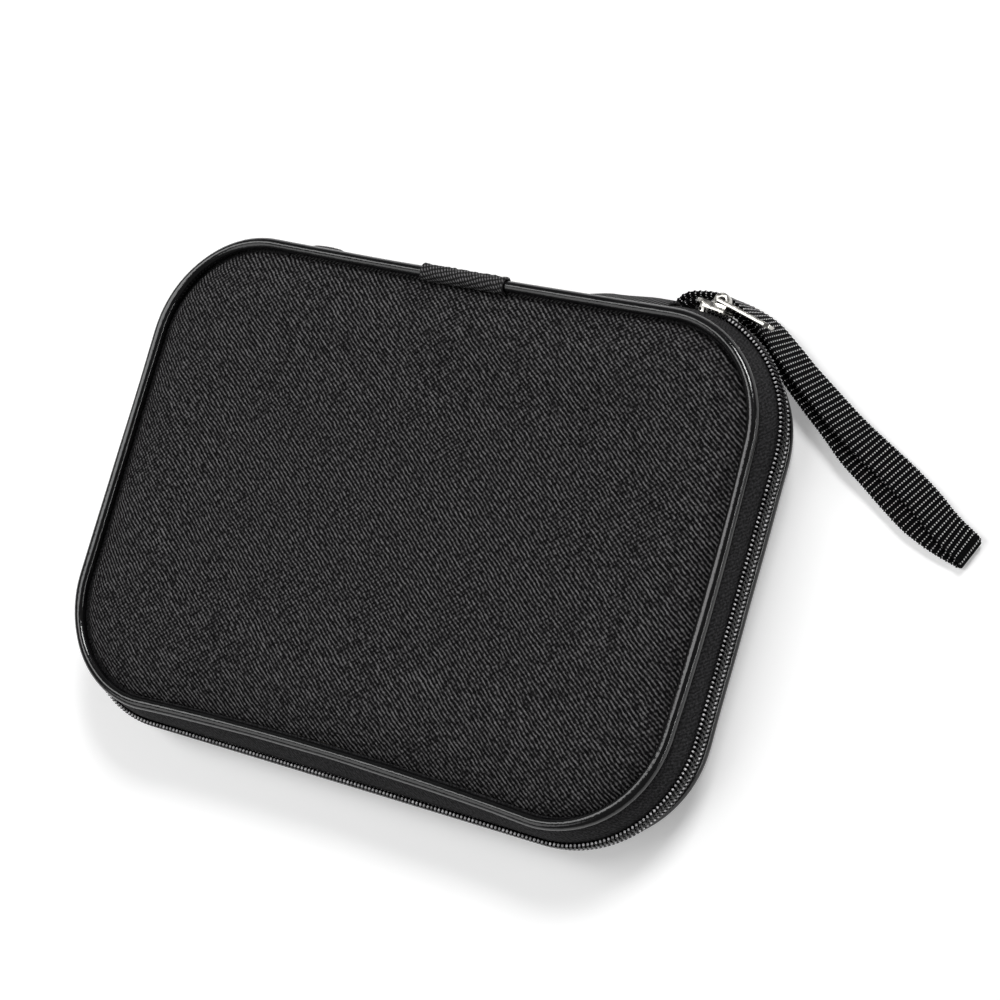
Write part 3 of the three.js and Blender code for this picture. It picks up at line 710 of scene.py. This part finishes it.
def makePad(name, side, moves, nodes, body):
    bm = panelGrid(panel["crownPower"] if side > 0 else panel["restPower"])
    bm.verts.ensure_lookup_table()
    for vert, move in zip(bm.verts, moves):
        shift = softCap(move)
        if side < 0:
            shift.z = min(shift.z, 0.0)
        vert.co += shift
    under = bmesh.ops.duplicate(bm, geom=bm.verts[:] + bm.edges[:] + bm.faces[:])["geom"]
    for vert in (part for part in under if isinstance(part, bmesh.types.BMVert)):
        vert.co.z = min(panel["backHeight"], vert.co.z - panel["rimDepth"])
    bmesh.ops.bridge_loops(bm, edges=[edge for edge in bm.edges if edge.is_boundary])
    for vert in bm.verts:
        if side > 0:
            nearX = 1 - min(abs(vert.co.x) / cornerX, 1) ** 2
            nearY = 1 - min(abs(vert.co.y) / cornerY, 1) ** 2
            bowY = case["bowTop"] if vert.co.y > 0 else -case["bowBottom"]
            bowX = case["bowRight"] if vert.co.x > 0 else -case["bowLeft"]
            vert.co.y += bowY * nearX * smooth(abs(vert.co.y) / halfWidth)
            vert.co.x += bowX * nearY * smooth(abs(vert.co.x) / halfLength)
        shift = case["lean"] if side < 0 else 0.0
        vert.co = (vert.co.x + shift, vert.co.y + midY, zipZ + side * vert.co.z)
    bmesh.ops.recalc_face_normals(bm, faces=bm.faces)
    piece = finishPiece(bm, name, materials.twill, nodes, body)
    finer = piece.modifiers.new("smoothCloth", "SUBSURF")
    finer.levels = finer.render_levels = 1


coverMoves = drapeCover(panelGrid(panel["crownPower"]))
makePad("frontPad", 1, coverMoves, ["front_cover", "front_foam"], "lid")
makePad("backPad", -1, coverMoves, ["back_cover", "back_foam"], "base")
print("panels padded, cloth moved up to", round(max(m.length for m in coverMoves), 2), "mm")


# Piping: a vinyl tube round a cord, not quite even
piping = {"spacing": 1.6, "sides": 20, "uneven": 0.1, "waves": 0.06}


def makePiping(name, side, node, body):
    section = ringSection(case["pipingRadius"], piping["sides"])

    def point(place, spot):
        spotOnTube = Vector((place.at.x, place.at.y, side * 40)) * piping["waves"]
        wander = noise.noise(spotOnTube) * piping["uneven"]
        return rimPoint(place, spot.x * (1 + wander), pipingHeight + spot.y + wander, side)

    bm = wrapGrid(section, stationsOn(rimLegs, piping["spacing"]), point)
    finishPiece(bm, name, materials.vinyl, [node], body)


makePiping("frontPipingTube", 1, "front_piping", "lid")
makePiping("backPipingTube", -1, "back_piping", "base")


# Woven sleeve over the joint of the piping
sleeve = {
    "length": 24.0,
    "gap": 0.12,
    "thickness": 0.55,
    "start": -40,          # of the wrap round the piping, in degrees
    "sweep": 260,
    "lump": 1.1,           # size and height of the lumps that its threads make
    "lumpDepth": 0.2,
    "steps": 30,
    "rings": 90,
}


def makeSleeve(name, side, node, body):
    radius = case["pipingRadius"] + sleeve["gap"] + sleeve["thickness"] / 2
    steps, rings = sleeve["steps"], sleeve["rings"]
    turns = [math.radians(sleeve["start"] + sleeve["sweep"] * i / steps) for i in range(steps + 1)]
    line = [Vector((math.cos(t) * radius, math.sin(t) * radius)) for t in turns]
    section = ribbon(line, sleeve["thickness"])
    places = []
    for i in range(rings + 1):
        x = sleeve["length"] * (0.5 - i / rings)
        bow = case["bowTop"] * (1 - (x / cornerX) ** 2)
        places.append(SimpleNamespace(at=Vector((x, halfWidth)), out=Vector((0, 1)), along=-x, bow=bow))

    def point(place, spot):
        turn = math.atan2(spot.y, spot.x)
        spotOnCloth = Vector((place.along, turn * radius, side * 5)) / sleeve["lump"]
        swell = 1 + sleeve["lumpDepth"] * noise.noise(spotOnCloth) / radius
        return rimPoint(place, spot.x * swell, pipingHeight + spot.y * swell, side)

    bm = wrapGrid(section, places, point)
    finishPiece(bm, name, materials.tab, [node], body)


makeSleeve("frontSleeve", 1, "front_piping_tab", "lid")
makeSleeve("backSleeve", -1, "back_piping_tab", "base")
print("piping made")


# Zip tapes: woven strips that bow out from the seam to the coil
zipTape = {
    "line": [(3.0, 0.6), (3.02, 1.6), (2.9, 2.6), (2.15, 4.3),
             (1.2, 5.8), (0.5, 6.5), (-0.5, 6.6), (-2.3, 6.6)],    # out from the piping, up from the zip
    "steps": 18,
    "thickness": 0.46,
    "spacing": 2.0,
}


def makeTape(name, side, node, body):
    section = ribbon(curved(zipTape["line"], zipTape["steps"]), zipTape["thickness"])
    places = stationsOn(zipLegs, zipTape["spacing"])
    bm = wrapGrid(section, places, lambda place, spot: zipPoint(place, *spot, side))
    finishPiece(bm, name, materials.zipTape, [node], body)


makeTape("frontZipTape", 1, "front_zip_tape", "lid")
makeTape("backZipTape", -1, "back_zip_tape", "base")


# Coil: one long monofilament wound in flat loops, whose heads lock between those of the other half
coil = {
    "pitch": 1.067,
    "wire": 0.27,          # radius of the filament
    "depth": 0.5,          # half the thickness of a loop
    "head": -0.34,         # the head reaches past the zip's plane
    "heel": 2.0,
    "slant": 0.18,         # of a loop along the zip, as a share of the pitch
    "fullness": 0.7,       # below 1 the loops are squarer than an ellipse
    "sliderGap": 4.6,      # the front half ends this far before the slider
    "endGap": 2.4,
    "pointsPerLoop": 14,
    "step": 0.4,           # about the length of filament from point to point, for its UV map
    "sides": 6,
}


def coilPlaces(side, phase, skipEnd):
    total = trackLength(zipLegs)
    loops = round(total / coil["pitch"])
    pitch = total / loops
    steps = int((total - skipEnd) / pitch - 1) * coil["pointsPerLoop"]
    middle, reach = (coil["heel"] + coil["head"]) / 2, (coil["heel"] - coil["head"]) / 2
    highlightDotsFrom = 0 if side > 0 else coil["pointsPerLoop"] / 4    # the back half gets its painted highlight dots on its outer face
    centres, places = [], []
    for i in range(steps + 1):
        turn = 2 * math.pi * i / coil["pointsPerLoop"]
        slant = coil["slant"] * math.sin(turn) * pitch
        here = station(zipLegs, (i / coil["pointsPerLoop"] + phase) * pitch + slant)
        share = math.copysign(abs(math.cos(turn)) ** coil["fullness"], math.cos(turn))
        out = case["zipOut"] + coil["depth"] * share
        height = middle + reach * math.sin(turn)
        centres.append(zipPoint(here, case["zipOut"], middle, side))
        at = zipPoint(here, out, height, side)
        places.append(SimpleNamespace(at=at, along=(i + highlightDotsFrom) * coil["step"]))
    for i, place in enumerate(places):
        before, after = places[max(i - 1, 0)].at, places[min(i + 1, len(places) - 1)].at
        place.ahead = (after - before).normalized()
        place.face = place.ahead.cross((place.at - centres[i]).cross(place.ahead)).normalized()
        place.across = place.ahead.cross(place.face)
    return places


def makeCoil(name, side, phase, skipEnd, node, body):
    section = ringSection(coil["wire"], coil["sides"])
    places = coilPlaces(side, phase, skipEnd)
    bm = wrapGrid(section, places, lambda place, spot: place.at + place.face * spot.x + place.across * spot.y)
    finishPiece(bm, name, materials.coil, [node], body)


sliderRun = case["zipEndRun"] + (case["cornerRadius"] + case["zipOut"]) * math.radians(case["sliderAngle"])
makeCoil("frontCoil", 1, 0.5, sliderRun + coil["sliderGap"], "front_zip_coil", "lid")
makeCoil("backCoil", -1, 0.0, coil["endGap"], "back_zip_coil", "base")
print("zip made")


# Spine: woven strip from seam to seam
spine = {
    "thickness": 0.8,
    "seamHeight": 6.05,
    "seamReach": 2.3,
    "shoulder": 0.4,
    "steps": 24,
    "rings": 52,
    "bendHalf": 3.5,       # it bends within this height of the zip's plane
    "overlap": 4.0,        # it covers the root of the strap, up to the end of the zip
    "bulges": [(-54, 1.4), (-49, 3.0), (-45, 3.0), (-38, 1.3), (-20, 0.8),
               (10, 0.8), (26, 1.6), (38, 3.6), (50, 4.4)],    # x, and how far it stands out there
}


# The spine sinks in between the pipings, and stands out near its ends where it is sewn to the zip
def spineBulge(x):
    stops = spine["bulges"]
    for (x0, b0), (x1, b1) in zip(stops, stops[1:]):
        if x <= x1:
            return b0 + (b1 - b0) * smooth((x - x0) / (x1 - x0))
    return stops[-1][1]


def makeSpine():
    line = [Vector((-spine["seamReach"], -spine["seamHeight"]))]
    for i in range(spine["steps"] + 1):
        rise = 2 * i / spine["steps"] - 1
        bulge = spine["shoulder"] + (1 - rise * rise)
        line.append(Vector((bulge, rise * spine["seamHeight"])))
    line.append(Vector((-spine["seamReach"], spine["seamHeight"])))
    section = ribbon(line, spine["thickness"])
    span = spineHigh.x - spineLow.x + spine["overlap"]
    runs = [span * i / spine["rings"] for i in range(spine["rings"] + 1)]
    places = [SimpleNamespace(at=spineLow.x + run, along=run) for run in runs]

    def point(place, spot):
        rise = min(abs(spot.y) / spine["seamHeight"], 1.0)
        swell = (spineBulge(place.at) - 1 - spine["shoulder"]) * (1 - rise * rise)
        return Vector((place.at, halfWidth + midY + spot.x + swell, zipZ + spot.y))

    bm = wrapGrid(section, places, point)
    piece = finishPiece(bm, "spineStrip", materials.spine, ["spine_tape"])
    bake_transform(piece)
    runningLength(line)[-1] * mm


makeSpine()


# Slider and pull, cast and plated: the solid of the frame with its edges rounded over
slider = {
    "rounding": 0.22,
    "segments": 3,
    "weld": 0.002,
    "flatAngle": 2,        # in degrees: edges flatter than this are merged,
    "sharpAngle": 35,      # and edges sharper than this are rounded over
}


def makeCasting(name, node, body):
    bm = bmesh.new()
    bm.from_mesh(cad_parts[node].data)
    bmesh.ops.scale(bm, vec=(1 / mm,) * 3, verts=bm.verts)
    bmesh.ops.remove_doubles(bm, verts=bm.verts, dist=slider["weld"])
    flat, sharp = math.radians(slider["flatAngle"]), math.radians(slider["sharpAngle"])
    bmesh.ops.dissolve_limit(bm, angle_limit=flat, verts=bm.verts, edges=bm.edges)
    rounded = [edge for edge in bm.edges if edge.is_manifold and edge.calc_face_angle(0) > sharp]
    bmesh.ops.bevel(bm, geom=rounded, offset=slider["rounding"], segments=slider["segments"], profile=0.5,
                    affect="EDGES", material=-1, clamp_overlap=True)
    finishPiece(bm, name, materials.nickel, [node], body)


makeCasting("castSlider", "zip_slider", "slider")
makeCasting("stampedPull", "zip_pull", "pull")
print("slider made")


# Inside of each half: lining, binding over the seam, elastic bands and a net pocket
inside = {
    "liningTop": 5.85,
    "liningThickness": 0.5,
    "liningShare": 0.8,    # of that thickness, taken up by the cloth
    "liningOut": -3.65,
    "liningCells": (60, 42),
    "liningSag": 0.1,
    "sagWaves": 0.05,      # to the mm
    "sagRun": 12,          # from the edge, until the lining sags in full
    "bindingLine": [(-6.45, 4.8), (-5.0, 4.78), (-3.65, 4.8), (-2.6, 5.0), (-1.85, 5.15)],
    "bindingSteps": 12,
    "bindingSpacing": 2.4,
    "bindingThickness": 0.5,
}


def makeLining(name, side, nodes, body):
    halfX, halfY = halfLength + inside["liningOut"], halfWidth + inside["liningOut"]
    radius = case["cornerRadius"] + inside["liningOut"]
    bm = bmesh.new()
    columns, rows = inside["liningCells"]
    bmesh.ops.create_grid(bm, x_segments=columns, y_segments=rows, size=0.5)
    face = inside["liningTop"] - inside["liningThickness"]
    for vert in bm.verts:
        x, y, inset = panelSpot(vert.co.x * 2 * halfX, vert.co.y * 2 * halfY, halfX, halfY, radius)
        sag = inside["liningSag"] * noise.noise(Vector((x, y, side * 9)) * inside["sagWaves"])
        vert.co = (x, y + midY, zipZ + side * (face + sag * smooth(inset / inside["sagRun"])))
    thickness = inside["liningThickness"] * inside["liningShare"]
    bmesh.ops.solidify(bm, geom=bm.faces[:], thickness=side * thickness)
    bmesh.ops.recalc_face_normals(bm, faces=bm.faces)
    piece = finishPiece(bm, name, materials.lining, nodes, body)


def makeBinding(name, side, node, body):
    section = ribbon(curved(inside["bindingLine"], inside["bindingSteps"]), inside["bindingThickness"])
    places = stationsOn(rimLegs, inside["bindingSpacing"])
    bm = wrapGrid(section, places, lambda place, spot: rimPoint(place, *spot, side))
    finishPiece(bm, name, materials.binding, [node], body)


makeLining("frontLiningCloth", 1, ["front_lining"], "lid")
makeLining("backLiningCloth", -1, ["back_lining"], "base")
makeBinding("frontSeamBinding", 1, "front_seam_binding", "lid")
makeBinding("backSeamBinding", -1, "back_seam_binding", "base")

# Elastic bands, sewn down at both ends
elastic = {
    "thickness": 0.7,
    "tack": 4.0,           # sewn length at each end
    "arch": 1.0,
    "shoulder": 0.55,      # place and height of the shoulders, as shares of half the band and of the arch
    "shoulderRise": 0.8,
    "steps": 60,
    "cells": 16,
}


def makeBand(name, node):
    low, high = boxOf(node)
    half, width = (high.x - low.x) / 2, high.y - low.y
    middle = (low + high) / 2
    ground = low.z + elastic["thickness"] / 2
    tack, shoulder = half - elastic["tack"], half * elastic["shoulder"]
    top = ground + elastic["arch"]
    rise = ground + elastic["arch"] * elastic["shoulderRise"]
    line = [(-half, ground), (-tack, ground), (-shoulder, rise), (0, top), (shoulder, rise), (tack, ground),
            (half, ground)]
    route = curved(line, elastic["steps"])
    cells = elastic["cells"]
    across = ribbon([Vector((width * (i / cells - 0.5), 0)) for i in range(cells + 1)], elastic["thickness"])
    along = runningLength(route)
    places = [SimpleNamespace(at=p, along=a) for p, a in zip(route, along)]

    def point(place, spot):
        return Vector((middle.x + place.at.x, middle.y + spot.x, place.at.y + spot.y))

    bm = wrapGrid(across, places, point)
    piece = finishPiece(bm, name, materials.elastic, [node], "base")


makeBand("meterElastic", "meter_band")
makeBand("lancingElastic", "lancing_device_band")
makeBand("vialElastic", "strip_vial_band")

# Net pocket, its cells set on their points, with a tape hem along its mouth
pocket = {"cell": 2.6, "yarn": 0.34, "corner": 16.75}


def makePocket():
    low, high = boxOf("net_pocket")
    width, depth = high.x - low.x, high.y - low.y
    bm = bmesh.new()
    columns, rows = round(width / pocket["cell"]), round(depth / pocket["cell"])
    bmesh.ops.create_grid(bm, x_segments=columns, y_segments=rows, size=0.5)
    for vert in bm.verts:
        x, y = vert.co.x * width, vert.co.y * depth
        if y < 0:
            x, y = panelSpot(x, y, width / 2, depth / 2, pocket["corner"])[:2]
        vert.co = (x, y + (low.y + high.y) / 2, (low.z + high.z) / 2)
    bmesh.ops.poke(bm, faces=bm.faces)
    straight = [edge for edge in bm.edges if not edge.is_boundary
                and all(len(vert.link_edges) != 4 for vert in edge.verts)]
    bmesh.ops.dissolve_edges(bm, edges=straight, use_verts=False, use_face_split=False)
    bmesh.ops.wireframe(bm, faces=bm.faces, thickness=pocket["yarn"], use_replace=True, use_boundary=True,
                        use_even_offset=True)
    finishPiece(bm, "pocketNet", materials.net, ["net_pocket"], "lid")


hem = {"sides": 20, "flatness": 0.35, "rings": 60}


def makeHem():
    low, high = boxOf("pocket_hem")
    middle = (low + high) / 2
    half = (high.z - low.z) / 2
    wide = (high.y - low.y) / 2
    section = [Vector((math.copysign(abs(p.x) ** hem["flatness"], p.x) * wide, p.y * half))
               for p in ringSection(1.0, hem["sides"])]
    runs = [(high.x - low.x) * i / hem["rings"] for i in range(hem["rings"] + 1)]
    places = [SimpleNamespace(at=low.x + run, along=run) for run in runs]

    def point(place, spot):
        return Vector((place.at, middle.y + spot.x, middle.z + spot.y))

    bm = wrapGrid(section, places, point)
    finishPiece(bm, "pocketHem", materials.binding, ["pocket_hem"], "lid")


makePocket()
makeHem()
for node in ("front_board", "back_board"):
    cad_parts[node].data.materials.clear()
    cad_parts[node].data.materials.append(materials.board)
print("inside made")


# Plain pale floor, a low pale wall under a dim ceiling, and soft studio lamps
studio = {
    "floorSize": 6.0,
    "floorColours": ("#f0f0f0", "#f2f2f2"),
    "lift": 0.27,          # light added to the floor where it is seen, so that it reads as white
    "farLift": 0.8,        # the same beyond the reach of the lamps
    "liftRun": (0.3, 1.6),    # metres from the case, over which the one turns into the other
    "ceiling": 0.14,       # strength of the light from above
    "wall": 0.95,          # and from just over the floor
    "wallRun": (0.02, 0.22),    # rise of the view, over which the wall turns into the ceiling
    "lamps": [
        ("keyBox", (0.3, 0.95, 1.0), (0.5, 0.32), 10.8),
        ("overStrip", (-0.5, 0.14, 1.12), (0.36, 1.3), 6.2),
        ("frontBox", (-0.62, -0.68, 0.87), (0.75, 0.75), 3.0),
        ("rightStrip", (1.15, 0.1, 0.3), (1.0, 0.05), 2.6),
    ],
}


def floorPaint():
    material, tree, shader = newMaterial("paperSweep", Roughness=0.9, Specular_IOR_Level=0.0)
    place = addNode(tree, "TexCoord").outputs["Object"]
    pale, palest = studio["floorColours"]
    paint(tree, shader, grain(tree, place, 3.0, 2.0), [(0.0, pale), (1.0, palest)])
    path = addNode(tree, "LightPath").outputs
    seen = addNode(tree, "Math", {0: path["Is Camera Ray"], 1: path["Is Glossy Ray"]}, operation="MAXIMUM")
    seen = addNode(tree, "Math", {0: seen.outputs[0], 1: path["Is Transmission Ray"]}, operation="MAXIMUM")
    away = addNode(tree, "VectorMath", {0: place}, operation="LENGTH").outputs["Value"]
    level = spread(tree, away, *studio["liftRun"], studio["lift"], studio["farLift"])
    lift = multiplied(tree, seen.outputs[0], level)
    shader.inputs["Emission Color"].default_value = (1, 1, 1, 1)
    tree.links.new(lift, shader.inputs["Emission Strength"])
    return material


def makeStudio():
    bm = bmesh.new()
    bmesh.ops.create_grid(bm, x_segments=4, y_segments=4, size=studio["floorSize"] / 2)
    mesh = bpy.data.meshes.new("studioFloor")
    bm.to_mesh(mesh)
    bm.free()
    floor = bpy.data.objects.new("studioFloor", mesh)
    mesh.materials.append(floorPaint())
    bpy.context.scene.collection.objects.link(floor)
    world = bpy.data.worlds.new("studioWorld")
    world.use_nodes = True
    tree = world.node_tree
    facing = addNode(tree, "SeparateXYZ", {0: addNode(tree, "TexCoord").outputs["Generated"]}).outputs["Z"]
    foot, top = studio["wallRun"]
    inputs = {0: facing, 1: foot, 2: top, 3: studio["wall"], 4: studio["ceiling"]}
    strength = addNode(tree, "MapRange", inputs, interpolation_type="SMOOTHSTEP").outputs[0]
    background = tree.nodes["Background"]
    background.inputs["Color"].default_value = (1, 1, 1, 1)
    tree.links.new(strength, background.inputs["Strength"])
    bpy.context.scene.world = world
    for name, place, size, power in studio["lamps"]:
        lamp = bpy.data.lights.new(name, "AREA")
        lamp.shape = "RECTANGLE"
        lamp.size, lamp.size_y = size
        lamp.energy = power
        holder = bpy.data.objects.new(name, lamp)
        holder.location = place
        holder.rotation_euler = Vector(place).to_track_quat("Z", "Y").to_euler()
        bpy.context.scene.collection.objects.link(holder)
    bpy.context.scene.view_settings.view_transform = "Standard"


makeStudio()
print("studio lit")
